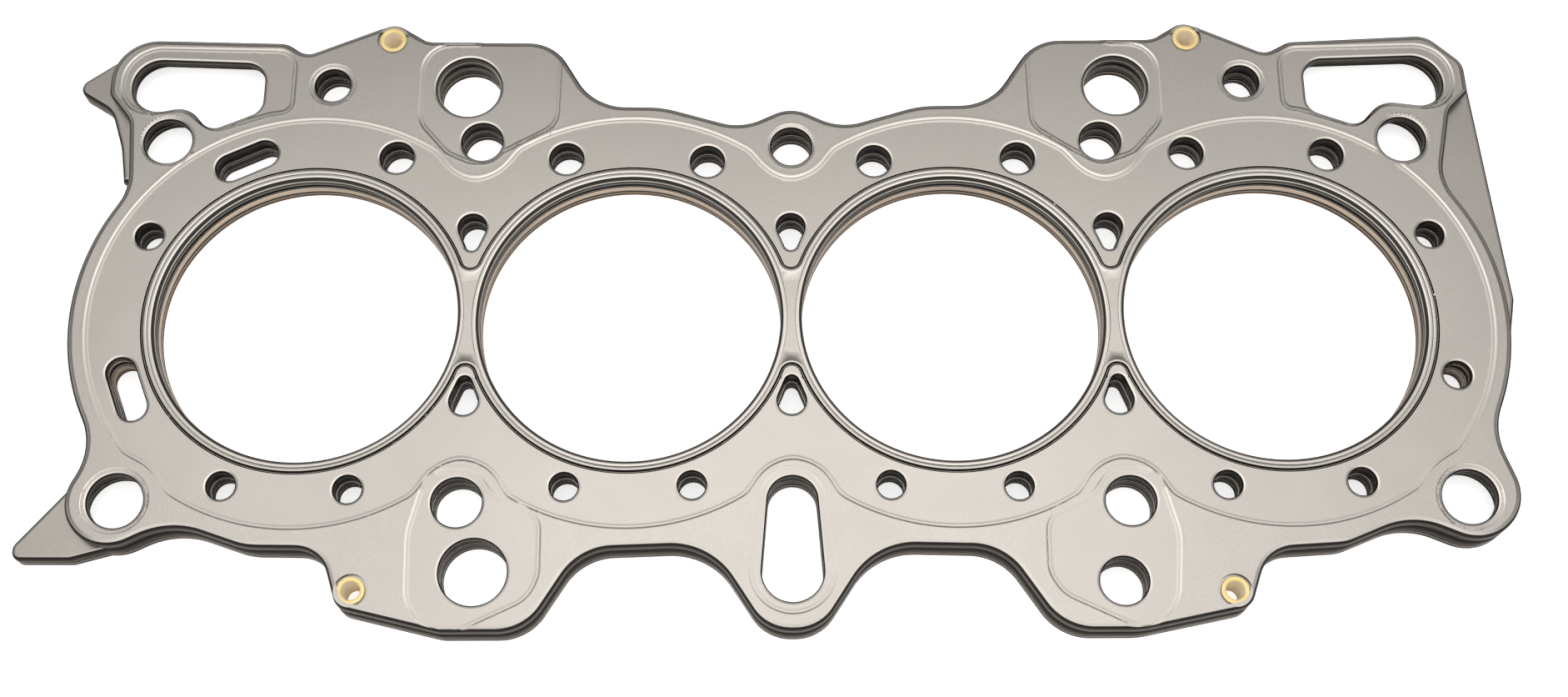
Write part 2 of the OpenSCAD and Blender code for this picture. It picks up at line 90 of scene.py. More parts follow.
# How far from the row of bores the middle of that turn lies
TURN_Y = math.sqrt((GROOVE_R + GROOVE_FILLET) ** 2 - (PITCH / 2) ** 2)
# The rebate that the bore rings lie in, and the recesses of the eyelets
REBATE_R = BORE_R + 1.9
REBATE_H = 0.55
EYELET_RECESS_R = 4.5
EYELET_RECESS_H = 0.9
# An eyelet's hole is narrower than this, and farther than this from the row of bores
EYELET_HOLE_R, EYELET_Y = 3.4, 76
# Edges of the top sheet: radius of the rounding, width and slope of the fall that leads into it
OUTER_EDGE = (1.2, 0.8, 0.2)
HOLE_EDGE = (0.6, 0.55, 0.27)
# The half bead: radius about a bore, and the circles about the bolts that it passes inside, as x, y, radius
FIELD_R = BORE_R + 19.2
SCALLOPS = [(-89.6, 53.4, 10.4), (0.4, 53.4, 10.4), (90.4, 53.4, 10.4), (-89.7, -53.5, 11.4), (0.3, -53.5, 11.4),
            (90.3, -53.5, 11.4), (-182.4, -53.0, 12.0), (183.2, -53.0, 12.0)]
# Widths over which the bead's circles run into one another: at the bolts' circles, and between two bores
SCALLOP_BLEND = 2.5
BORE_BLEND = 7.0
# A wall of the solid within this distance of the bead's line belongs to the bead
BEAD_REACH = 0.75
# Half the distance over which a slope is measured
EPS = 0.01


# Outlines read from the solids


# Corners that differ in height by less than this are level with one another
LEVEL = 0.004


def merged(mesh):
    """Corner places in millimetres with doubles merged, and each face as indices into them."""
    co = np.empty(len(mesh.vertices) * 3)
    mesh.vertices.foreach_get("co", co)
    co = co.reshape(-1, 3) / MM
    key = np.round(co, 3)
    places, index = np.unique(key, axis=0, return_inverse=True)
    index = index.ravel()
    return places, [[int(index[v]) for v in p.vertices] for p in mesh.polygons]


def flat_outlines(node, z):
    """Closed outlines of a node's flat faces at height z: counter-clockwise outside, clockwise for a hole."""
    places, faces = merged(NODES[node].data)
    edges = set()
    for face in faces:
        if all(abs(places[v][2] - z) < LEVEL for v in face):
            pts = places[face]
            area = sum(pts[i - 1][0] * pts[i][1] - pts[i][0] * pts[i - 1][1] for i in range(len(face)))
            ring = face if area > 0 else face[::-1]
            edges.update((ring[i - 1], ring[i]) for i in range(len(ring)))
    following = {a: b for a, b in edges if (b, a) not in edges}
    loops = []
    while following:
        start, here = next(iter(following.items()))
        loop = [start]
        del following[start]
        while here != start:
            loop.append(here)
            here = following.pop(here)
        loops.append(places[loop][:, :2])
    return loops


def ledge_walls(node, z_high, z_low):
    """Start, end and outward normal of every upright wall between two heights, seen from above."""
    places, faces = merged(NODES[node].data)
    found = {}
    for face in faces:
        z = places[face][:, 2]
        if abs(z.max() - z_high) < LEVEL and abs(z.min() - z_low) < LEVEL:
            a, b, c = places[face[0]], places[face[1]], places[face[2]]
            normal = np.cross(b - a, c - a)
            tops = [v for v in face if abs(places[v][2] - z_high) < LEVEL]
            if len(tops) == 2 and abs(normal[2]) < 1e-3 * np.linalg.norm(normal):
                p, q = places[tops[0]][:2], places[tops[1]][:2]
                found[tuple(sorted(tops))] = (p, q, normal[:2] / np.linalg.norm(normal[:2]))
    segments = list(found.values())
    return (np.array([s[0] for s in segments]), np.array([s[1] for s in segments]),
            np.array([s[2] for s in segments]))


def smooth_loop(loop, step):
    """The loop with more points: circles exactly round, other curves through their own points."""
    centre = loop.mean(0)
    radii = np.linalg.norm(loop - centre, axis=1)
    if len(loop) > 15 and np.ptp(radii) < 0.01:
        r = radii.mean()
        n = max(40, int(2 * math.pi * r / step))
        area = np.cross(loop, np.roll(loop, -1, 0)).sum()
        t = np.arange(n) * 2 * math.pi / n * (1 if area > 0 else -1)
        return centre + r * np.stack([np.cos(t), np.sin(t)], 1)
    keep = np.linalg.norm(loop - np.roll(loop, 1, 0), axis=1) > 0.02
    p = loop[keep]
    nxt = np.roll(p, -1, 0) - p
    length = np.linalg.norm(nxt, axis=1)
    unit = nxt / length[:, None]
    before, l_before = np.roll(unit, 1, 0), np.roll(length, 1)
    turn = np.degrees(np.arccos(np.clip((unit * before).sum(1), -1, 1)))
    tangent = before * length[:, None] + unit * l_before[:, None]
    tangent /= np.linalg.norm(tangent, axis=1)[:, None]
    tangent_out, tangent_in = tangent.copy(), tangent.copy()
    long_next = length > 2.2 * l_before
    long_before = l_before > 2.2 * length
    tangent_out[long_next] = tangent_in[long_next] = unit[long_next]
    tangent_out[long_before] = tangent_in[long_before] = before[long_before]
    sharp = turn > 30
    tangent_out[sharp] = unit[sharp]
    tangent_in[sharp] = before[sharp]
    out = []
    for i in range(len(p)):
        j = (i + 1) % len(p)
        n = max(1, int(math.ceil(length[i] / step)))
        for k in range(n):
            t = k / n
            h = (2 * t**3 - 3 * t**2 + 1, t**3 - 2 * t**2 + t, 3 * t**2 - 2 * t**3, t**3 - t**2)
            out.append(h[0] * p[i] + h[1] * tangent_out[i] * length[i] + h[2] * p[j]
                       + h[3] * tangent_in[j] * length[i])
    return np.array(out)


def is_outer(loop):
    """True for a sheet's outer edge: no other loop is longer than 300 mm."""
    return np.ptp(loop[:, 0]) > 300


def loop_normals(loop):
    """Unit normals of a loop that point away from the metal."""
    step = np.roll(loop, -1, 0) - loop
    step /= np.linalg.norm(step, axis=1)[:, None]
    away = np.stack([step[:, 1], -step[:, 0]], 1)
    normal = away + np.roll(away, 1, 0)
    return normal / np.linalg.norm(normal, axis=1)[:, None]


# Height of the top sheet's surface


def band_distance(p):
    """Distance of plan points from the groove round the bores, positive outside it."""
    s = np.min([np.hypot(*(p - c).T) for c in BORES], axis=0) - GROOVE_R
    for k in range(3):
        mid = (BORES[k][0] + BORES[k + 1][0]) / 2
        x, y = p[:, 0] - mid, p[:, 1]
        inside = (np.abs(y) < TURN_Y) & (np.abs(x) / (PITCH / 2) + np.abs(y) / TURN_Y < 1)
        fillet = GROOVE_FILLET - np.hypot(x, np.abs(y) - TURN_Y)
        s = np.where(inside, fillet, s)
    return s


def ramp(x, start, end, soft=0.08):
    """Straight rise from 0 at start to 1 at end, with its two corners rounded over."""
    def area(t):
        return np.where(t < 0, 0, np.where(t > 1, t - 0.5, t * t / 2))
    t, w = (x - start) / (end - start), soft / (end - start)
    return (area(t + w) - area(t - w)) / (2 * w)


def band_profile(s):
    """Height over the field, going in towards the bore: a low rim, a groove, and a band that falls a little."""
    groove = -GROOVE_H * np.exp(-(((s - 0.02) / 0.27) ** 2))
    rise = BAND_RISE * ramp(-s, 0.1, 0.5, 0.06)
    fall = -0.12 * ramp(-s, 1.02, 1.45, 0.08)
    rim = 0.03 * np.exp(-(((s - 0.42) / 0.16) ** 2))
    return groove + rise + fall + rim


WALLS = ledge_walls("top_sheet", Z_LAND, Z_LAND - STEP_H)


def soft_max(a, b, blend):
    """The larger of two distances, rounded over where they are nearly equal."""
    near = np.maximum(blend - np.abs(a - b), 0) / blend
    return np.maximum(a, b) + near * near * blend / 4


def bead_distance(p, bore_blend=BORE_BLEND):
    """Distance of plan points into the field that the half bead closes off round the bores."""
    d = np.full(len(p), -1e3)
    for c in BORES:
        d = soft_max(d, FIELD_R - np.hypot(*(p - c).T), bore_blend)
    for x, y, r in SCALLOPS:
        d = -soft_max(-d, r - np.hypot(p[:, 0] - x, p[:, 1] - y), SCALLOP_BLEND)
    return d


def gradient(distance, p):
    """Direction and rate in which a distance grows at plan points."""
    gx = (distance(p + [EPS, 0]) - distance(p - [EPS, 0])) / (2 * EPS)
    gy = (distance(p + [0, EPS]) - distance(p - [0, EPS])) / (2 * EPS)
    return np.stack([gx, gy], 1)


def without_bead(walls):
    """The walls less those of the half bead, which has its own distance; the solid's is less blended."""
    a, b, n = walls
    mid = (a + b) / 2
    other = np.minimum(np.abs(bead_distance(mid)), np.abs(bead_distance(mid, SCALLOP_BLEND))) > BEAD_REACH
    return a[other], b[other], n[other]


OTHER_WALLS = without_bead(WALLS)


def dish_walls():
    """True for the walls of the small dishes round the bolt and feed holes."""
    a, b, n = OTHER_WALLS
    mid = (a + b) / 2
    dish = np.zeros(len(a), bool)
    for loop in flat_outlines("top_sheet", Z_TOP):
        centre = loop.mean(0)
        radii = np.linalg.norm(loop - centre, axis=1)
        if np.ptp(radii) < 0.02 and 4 < radii[0] < 10:
            # A dish's walls face its round hole, and lie 0.5 to 2.5 mm outside the hole's edge
            out = np.linalg.norm(mid - centre, axis=1)
            faces_in = ((centre - mid) * n).sum(1) > 0.99 * out
            near = faces_in & (out > radii[0] + 0.5) & (out < radii[0] + 2.5)
            if near.sum() > 20:
                dish |= near
    return dish


DISH = dish_walls()


def ledge_distance(p):
    """Distance of plan points into the pressed fields (negative on the lands), and its direction."""
    a, b, n = OTHER_WALLS
    d = b - a
    dd = (d * d).sum(1)
    dist = np.empty(len(p))
    way = np.empty((len(p), 2))
    for i in range(0, len(p), 2000):
        q = p[i:i + 2000]
        t = np.clip(((q[:, None] - a) * d).sum(2) / dd, 0, 1)
        off = q[:, None] - (a + t[..., None] * d)
        r = np.hypot(off[..., 0], off[..., 1])
        rows = np.arange(len(q))
        # Of walls that are equally near, the one that the point lies most squarely in front of
        facing = np.abs((off * n).sum(2))
        facing[r > r.min(1)[:, None] + 1e-4] = -1
        near = facing.argmax(1)
        o = off[rows, near]
        side = np.sign((o * n[near]).sum(1))
        side[side == 0] = 1
        length = r[rows, near]
        dist[i:i + 2000] = side * length * np.where(DISH[near], DISH_STEEPER, 1.0)
        way[i:i + 2000] = np.where(length[:, None] > 1e-4, side[:, None] * o / np.maximum(length, 1e-4)[:, None],
                                   n[near])
    bead = bead_distance(p)
    larger = bead > dist
    dist[larger] = bead[larger]
    way[larger] = gradient(bead_distance, p[larger])
    return dist, way


def field_profile(d):
    """Height against the distance into a pressed field: a low rim, a slope, a shoulder and a gentler slope."""
    height = 0.012 * np.exp(-(((d + 0.55) / 0.2) ** 2))
    for start, end, drop in (UPPER_RAMP, LOWER_RAMP):
        height = height - drop * ramp(d, start, end)
    return height


def surface(p):
    """Height below the lands, and unit normals, of the top sheet's upper face at plan points."""
    d, way = ledge_distance(p)
    s = band_distance(p)
    # From the groove inwards the field is all the way down
    d = np.where(s < 0.8, np.maximum(d, 5.0), d)
    slope_f = (field_profile(d + EPS) - field_profile(d - EPS)) / (2 * EPS)
    slope_b = (band_profile(s + EPS) - band_profile(s - EPS)) / (2 * EPS)
    h = np.minimum(field_profile(d) + band_profile(s), 0.02)
    grad = slope_f[:, None] * way
    close = s < 6
    grad[close] += slope_b[close, None] * gradient(band_distance, p[close])
    normal = np.concatenate([-grad, np.ones((len(p), 1))], 1)
    return h, normal / np.linalg.norm(normal, axis=1)[:, None]


# Meshes of the sheets


class Builder:
    """Collects corners with normals and faces, and makes the mesh."""

    def __init__(self):
        self.places, self.normals, self.faces = [], [], []
        self.count = 0

    def add(self, places, normals):
        first = self.count
        self.places.append(np.asarray(places, float))
        self.normals.append(np.asarray(normals, float))
        self.count += len(places)
        return first

    def strip(self, a, b, n):
        """Quads between two closed rows of n corners each."""
        for i in range(n):
            j = (i + 1) % n
            self.faces.append((a + i, a + j, b + j, b + i))

    def finish(self, name, material, slot, nodes):
        mesh = bpy.data.meshes.new(name)
        places = np.concatenate(self.places) * MM
        mesh.from_pydata(places.tolist(), [], self.faces)
        mesh.polygons.foreach_set("use_smooth", [True] * len(mesh.polygons))
        mesh.normals_split_custom_set_from_vertices(np.concatenate(self.normals).tolist())
        mesh.materials.append(material)
        piece = bpy.data.objects.new(name, mesh)
        bpy.context.scene.collection.objects.link(piece)
        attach(piece, "root")
        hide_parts(*nodes)
        return piece


def quarter_round(radius, count):
    """Rows over a rounded edge from the wall to the flat: inset, drop below the flat, and the normal's rise."""
    turns = [math.pi / 2 * i / count for i in range(count + 1)]
    return [(radius * (1 - math.cos(t)), radius * (1 - math.sin(t)), math.sin(t)) for t in turns]


def eased_edge(radius, lead, slope):
    """Rows over the top sheet's edge: a rounding, then a straight fall that eases into the flat.

    Each row holds the inset, the drop, and the rise of the normal over the face's own.
    """
    last = math.pi / 2 - math.atan(slope)
    start = radius * (1 - math.cos(last))
    lead_drop = slope * lead * 0.8
    rows = [(radius * (1 - math.cos(t)), lead_drop + radius * (math.sin(last) - math.sin(t)), math.sin(t))
            for t in [last * i / 7 for i in range(8)]]
    for t, left, share in ((0.6, 0.25, 1.0), (0.8, 0.06, 0.5), (1.0, 0.0, 0.0)):
        rows.append((start + lead * t, lead_drop * left, 1 / math.hypot(1, slope * share)))
    return rows


def lean(outward, up):
    """Normals that lean from outward (flat) to up, one number for the row."""
    n = np.concatenate([outward * math.sqrt(max(0.0, 1 - up * up)), np.full((len(outward), 1), up)], 1)
    return n / np.linalg.norm(n, axis=1)[:, None]


def leaning_from(normals, outward, up):
    """Normals of a face, turned outward as far as a rounding's rise says: 1 leaves them as they are."""
    n = normals * up + math.sqrt(max(0.0, 1 - up * up)) * np.column_stack([outward, np.zeros(len(outward))])
    return n / np.linalg.norm(n, axis=1)[:, None]


def cap(builder, loops, firsts, extra, height, upward):
    """Triangles between loops whose corners exist already from firsts on, through the extra plan points."""
    flat, edges, owner = [], [], []
    for loop, first in zip(loops, firsts):
        base = len(flat)
        flat += [Vector(q) for q in loop]
        owner += [first + i for i in range(len(loop))]
        edges += [(base + i, base + (i + 1) % len(loop)) for i in range(len(loop))]
    base = len(flat)
    flat += [Vector(q) for q in extra]
    places, lines, faces, origins, line_origins, _ = delaunay_2d_cdt(flat, edges, [], 0, 1e-5)
    walls = {tuple(sorted(line)) for line, origin in zip(lines, line_origins) if origin}
    faces = metal_faces(np.array([q[:] for q in places]), faces, walls, loops)
    index = {k: owner[min(o)] for k, o in enumerate(origins) if o and min(o) < base}
    fresh = sorted({k for face in faces for k in face} - set(index))
    if fresh:
        z, normals = height(np.array([places[k][:] for k in fresh]))
        first = builder.add(np.column_stack([[places[k][:] for k in fresh], z]), normals)
        index.update({k: first + i for i, k in enumerate(fresh)})
    for face in faces:
        ring = [index[k] for k in face]
        builder.faces.append(tuple(ring) if upward else tuple(ring[::-1]))


def inside_outlines(point, loops):
    """True where a plan point lies on metal: a ray from it crosses the outlines an odd number of times."""
    crossings = 0
    for loop in loops:
        a, b = loop, np.roll(loop, -1, 0)
        spans = (a[:, 1] > point[1]) != (b[:, 1] > point[1])
        a, b = a[spans], b[spans]
        x = a[:, 0] + (point[1] - a[:, 1]) / (b[:, 1] - a[:, 1]) * (b[:, 0] - a[:, 0])
        crossings += int((x > point[0]).sum())
    return crossings % 2 == 1


def metal_faces(places, faces, walls, loops):
    """The triangles on metal: each region that the walls close off is kept or dropped whole."""
    beside = {}
    for f, face in enumerate(faces):
        for i in range(3):
            beside.setdefault(tuple(sorted((face[i - 1], face[i]))), []).append(f)
    corners = places[np.array(faces)]
    u, v = corners[:, 1] - corners[:, 0], corners[:, 2] - corners[:, 0]
    area = np.abs(u[:, 0] * v[:, 1] - u[:, 1] * v[:, 0])
    seen = np.zeros(len(faces), bool)
    kept = []
    for start in range(len(faces)):
        if seen[start]:
            continue
        seen[start] = True
        region, waiting = [], [start]
        while waiting:
            f = waiting.pop()
            region.append(f)
            face = faces[f]
            for i in range(3):
                edge = tuple(sorted((face[i - 1], face[i])))
                if edge not in walls:
                    for g in beside[edge]:
                        if not seen[g]:
                            seen[g] = True
                            waiting.append(g)
        largest = max(region, key=lambda f: area[f])
        if inside_outlines(corners[largest].mean(0), loops):
            kept += region
    return [faces[f] for f in sorted(kept)]


def plain_height(z, up):
    def height(plan):
        return np.full(len(plan), z), np.tile([0.0, 0.0, up], (len(plan), 1))
    return height


def plain_sheet(node, name, material, slot, top_round, low_round, outer_round=None):
    """A flat sheet with its cut edges rounded over, from the node's own outlines."""
    z0, z1 = heights(node)
    loops = [smooth_loop(loop, 1.2) for loop in flat_outlines(node, z1)]
    builder = Builder()
    low_rows, high_rows, low_loops, high_loops = [], [], [], []
    for loop in loops:
        out = loop_normals(loop)
        rows = []
        under = [(i, z0 + drop, -up) for i, drop, up in quarter_round(low_round, 3)]
        wide = outer_round if outer_round and is_outer(loop) else top_round
        over = [(i, z1 - drop, up) for i, drop, up in quarter_round(wide, 5)]
        for inset, z, up in under[::-1] + over:
            plan = loop - out * inset
            rows.append((builder.add(np.column_stack([plan, np.full(len(loop), z)]), lean(out, up)), plan))
        for (a, _), (b, _) in zip(rows, rows[1:]):
            builder.strip(a, b, len(loop))
        low_rows.append(rows[0][0])
        low_loops.append(rows[0][1])
        high_rows.append(rows[-1][0])
        high_loops.append(rows[-1][1])
    cap(builder, high_loops, high_rows, [], plain_height(z1, 1), True)
    cap(builder, low_loops, low_rows, [], plain_height(z0, -1), False)
    return builder.finish(name, material, slot, [node])


# Distances into a pressed field, and from the groove, at which rows of corners follow the relief
RELIEF_ROWS = (-1.0, -0.65, -0.42, -0.28, -0.2, -0.12, 0.05, 0.22, 0.3, 0.38, 0.5, 0.67, 0.75, 0.83, 1.02, 1.22, 1.3,
               1.38, 1.8)
BAND_ROWS = (-1.2, -1.05, -0.9, -0.75, -0.6, -0.45, -0.35, -0.25, -0.15, -0.05, 0.05, 0.15, 0.25, 0.35, 0.5, 0.65,
             0.8, 1.0, 1.25)


def bead_rows():
    """Rows of plan points along the half bead: circles about the bores and bolts, moved onto its own distance."""
    start = []
    for x, y, r in [(c[0], c[1], FIELD_R) for c in BORES] + SCALLOPS:
        t = np.linspace(0, 2 * math.pi, int(2 * math.pi * r / 1.1), endpoint=False)
        start.append(np.stack([x + r * np.cos(t), y + r * np.sin(t)], 1))
    start = np.concatenate(start)
    # Only points near the line end up on it; seven rounds bring each of them onto its row
    start = start[np.abs(bead_distance(start)) < 3.5]
    points = []
    for row in RELIEF_ROWS:
        p = start.copy()
        for _ in range(7):
            way = gradient(bead_distance, p)
            size = np.maximum((way * way).sum(1), 0.05)
            p += way * ((row - bead_distance(p)) / size)[:, None]
        points.append(p[np.abs(bead_distance(p) - row) < 0.02])
    return points


def relief_points(loops):
    """Plan points where the top sheet's surface bends, clear of its edges."""
    points = []
    a, b, n = OTHER_WALLS
    length = np.linalg.norm(b - a, axis=1)
    for i in range(len(a)):
        count = max(1, int(round(length[i] / 1.0)))
        t = (np.arange(count) + 0.5) / count
        line = a[i] + t[:, None] * (b[i] - a[i])
        steeper = DISH_STEEPER if DISH[i] else 1
        points += [line + n[i] * (row / steeper) for row in RELIEF_ROWS]
    points += bead_rows()
    t = np.arange(360) * math.pi / 180
    ring = np.stack([np.cos(t), np.sin(t)], 1)
    for c in BORES:
        for s in BAND_ROWS:
            row = c + ring * (GROOVE_R + s)
            points.append(row[np.abs(band_distance(row) - s) < 0.02])
    spread = math.atan2(PITCH / 2, TURN_Y)
    for k in range(3):
        mid = (BORES[k][0] + BORES[k + 1][0]) / 2
        for side in (1, -1):
            t = np.linspace(-spread, spread, 15)
            for s in BAND_ROWS:
                r = GROOVE_FILLET - s
                if r > 0.3:
                    points.append(np.stack([mid + r * np.sin(t), side * (TURN_Y - r * np.cos(t))], 1))
    # A coarse grid keeps the triangles of the flat parts even
    x = np.arange(-212, 212, 7.0)
    y = np.arange(-92, 95, 7.0)
    points.append(np.stack(np.meshgrid(x, y), -1).reshape(-1, 2))
    points = np.concatenate(points)
    points = points[np.unique(np.round(points, 1), axis=0, return_index=True)[1]]
    return points[clear_of(points, loops, 0.18)]


def clear_of(points, loops, gap):
    """True for the points that lie at least gap from every loop."""
    ok = np.ones(len(points), bool)
    for loop in loops:
        along = np.roll(loop, -1, 0) - loop
        low, high = loop.min(0) - gap - 0.5, loop.max(0) + gap + 0.5
        near = np.flatnonzero(((points > low) & (points < high)).all(1) & ok)
        for i in range(0, len(near), 1500):
            rows = near[i:i + 1500]
            q = points[rows]
            t = np.clip(((q[:, None] - loop) * along).sum(2) / (along * along).sum(1), 0, 1)
            off = q[:, None] - loop - t[..., None] * along
            ok[rows[np.hypot(off[..., 0], off[..., 1]).min(1) < gap]] = False
    return ok


def top_sheet(material):
    builder = Builder()
    low_loops, low_rows, high_loops, high_rows = [], [], [], []
    for loop in flat_outlines("top_sheet", Z_TOP):
        loop = smooth_loop(loop, 1.0)
        out = loop_normals(loop)
        r = np.linalg.norm(loop - loop.mean(0), axis=1)
        is_round = np.ptp(r) < 0.02
        # Inset, height above the sheet's underside, rise of the normal
        rows = [(0.1, 0.0, -1), (0, 0.1, 0)]
        step_in = 0
        # A bore has a rebate for its ring, and an eyelet's hole a recess for its head
        if is_round and abs(r[0] - BORE_R) < 1.5:
            step_in, floor = REBATE_R - r[0], Z_LAND - REBATE_H - Z_TOP
        if is_round and r[0] < EYELET_HOLE_R and np.abs(loop.mean(0)[1]) > EYELET_Y:
            step_in, floor = EYELET_RECESS_R - r[0], Z_LAND - EYELET_RECESS_H - Z_TOP
        if step_in:
            rows += [(0, floor, 0), (0, floor, 1), (step_in, floor, 1), (step_in, floor, 0)]
        made = []
        for inset, z, up in rows:
            plan = loop - out * inset
            made.append((builder.add(np.column_stack([plan, np.full(len(loop), Z_TOP + z)]), lean(out, up)), plan))
        edge = quarter_round(0.06, 2) if step_in else eased_edge(*(OUTER_EDGE if is_outer(loop) else HOLE_EDGE))
        for inset, drop, up in edge:
            plan = loop - out * (step_in + inset)
            relief, face = surface(plan)
            normals = leaning_from(face, out, up)
            made.append((builder.add(np.column_stack([plan, Z_LAND + relief - drop]), normals), plan))
        for (a, _), (b, _) in zip(made, made[1:]):
            builder.strip(a, b, len(loop))
        low_loops.append(made[0][1])
        low_rows.append(made[0][0])
        high_loops.append(made[-1][1])
        high_rows.append(made[-1][0])

    def height(plan):
        relief, normals = surface(plan)
        return Z_LAND + relief, normals

    cap(builder, high_loops, high_rows, relief_points(high_loops), height, True)
    cap(builder, low_loops, low_rows, [], plain_height(Z_TOP, -1), False)
    return builder.finish("top_sheet_pressed", material, "sheet_steel", ["top_sheet"])


def revolved(profile, centre, count, name, material, slot, nodes):
    """A closed section turned about an upright axis; each section point is (r, z, normal r, normal z)."""
    builder = Builder()
    t = np.arange(count) * 2 * math.pi / count
    ring = np.stack([np.cos(t), np.sin(t)], 1)
    firsts = []
    for r, z, nr, nz in profile:
        places = np.column_stack([centre + ring * r, np.full(count, z)])
        normals = np.column_stack([ring * nr, np.full(count, nz)])
        firsts.append(builder.add(places, normals))
    for a, b in zip(firsts, firsts[1:] + firsts[:1]):
        builder.strip(a, b, count)
    return builder.finish(name, material, slot, nodes)


def arc(r, z, radius, start, end, count):
    """Section points round an arc, with their normals; angles in degrees."""
    out = []
    for i in range(count + 1):
        t = math.radians(start + (end - start) * i / count)
        out.append((r + radius * math.cos(t), z + radius * math.sin(t), math.cos(t), math.sin(t)))
    return out


# The folded ring: width of its flanges, radius of the fold, its thickness, and how far the fold stays below its box
RING_W = 1.8
FOLD_R = 1.3
RING_T = 0.4
RING_SINK = 0.07


def bore_ring(index, material):
    """The folded ring: a rounded fold at the bore's edge, and a flange on each side of the sheets."""
    node = "bore_ring_%d" % (index + 1)
    z0, z1 = heights(node)
    outer = BORE_R + RING_W
    crease = BORE_R + 0.16
    inner = BORE_R + 0.5
    section = arc(outer - 0.06, z1 - 0.06, 0.06, 0, 86, 2)
    section += arc(BORE_R + FOLD_R, z1 - RING_SINK - FOLD_R, FOLD_R, 86, 180, 10)
    section += [(BORE_R, z1 - 1.6, -1, 0), (crease, z1 - 1.82, -0.7, -0.7), (crease, z1 - 2.1, -0.8, 0.6),
                (BORE_R, z1 - 2.4, -0.97, 0.25), (BORE_R, z0 + 0.2, -0.99, 0.1)]
    section += arc(BORE_R + 0.2, z0 + 0.2, 0.2, 180, 270, 4)
    section += [(outer, z0, 0, -1), (outer, z0, 1, 0), (outer, z0 + RING_T, 1, 0), (outer, z0 + RING_T, 0, 1),
                (inner, z0 + RING_T, 0, 1), (inner, z0 + RING_T, 1, 0), (inner, z1 - 1.2, 1, 0),
                (BORE_R + 0.9, z1 - 0.5, 0.7, -0.7), (outer, z1 - RING_T, 0, -1), (outer, z1 - RING_T, 1, 0)]
    return revolved(section, BORES[index], 240, node + "_folded", material, "ring_steel", [node])


# The eyelets: radii of the rolled heads, the hole and the tube, and height of the heads
HEAD_R, HOLE_R, TUBE_R, HEAD_H = 3.9, 2.5, 3.1, 0.9


def eyelet(index, material):
    """A brass tube with its ends rolled over."""
    node = "eyelet_%d" % (index + 1)
    low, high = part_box(node)
    centre = np.array([(low.x + high.x) / 2, (low.y + high.y) / 2]) / MM
    z0, z1 = low.z / MM, high.z / MM
    section = arc(HEAD_R - 0.35, z1 - 0.4, 0.35, 0, 84, 5)[1:]
    section += arc(HOLE_R + 0.5, z1 - 0.55, 0.5, 92, 180, 6)
    section += arc(HOLE_R + 0.62, z0 + 0.66, 0.62, 180, 260, 6)
    section += arc(HEAD_R - 0.45, z0 + 0.55, 0.55, 285, 360, 5)
    section += [(HEAD_R, z0 + HEAD_H, 1, 0), (HEAD_R, z0 + HEAD_H, 0, 1), (TUBE_R, z0 + HEAD_H, 0, 1),
                (TUBE_R, z0 + HEAD_H, 1, 0), (TUBE_R, z1 - HEAD_H, 1, 0), (TUBE_R, z1 - HEAD_H, 0, -1),
                (HEAD_R, z1 - HEAD_H, 0, -1), (HEAD_R, z1 - HEAD_H, 1, 0)]
    # The lower head's rounding is cut off at the head's radius
    section = [(min(r, HEAD_R), z, nr, nz) for r, z, nr, nz in section]
    return revolved(section, centre, 72, node + "_rolled", material, "eyelet_brass", [node])


# Materials


# Up to this distance from a bore's axis a wall belongs to the bore
BORE_WALL_R = BORE_R + 2.5


def scaled(colour, share):
    """A colour made darker or lighter, up to full."""
    return [min(1.0, share * v) for v in colour]


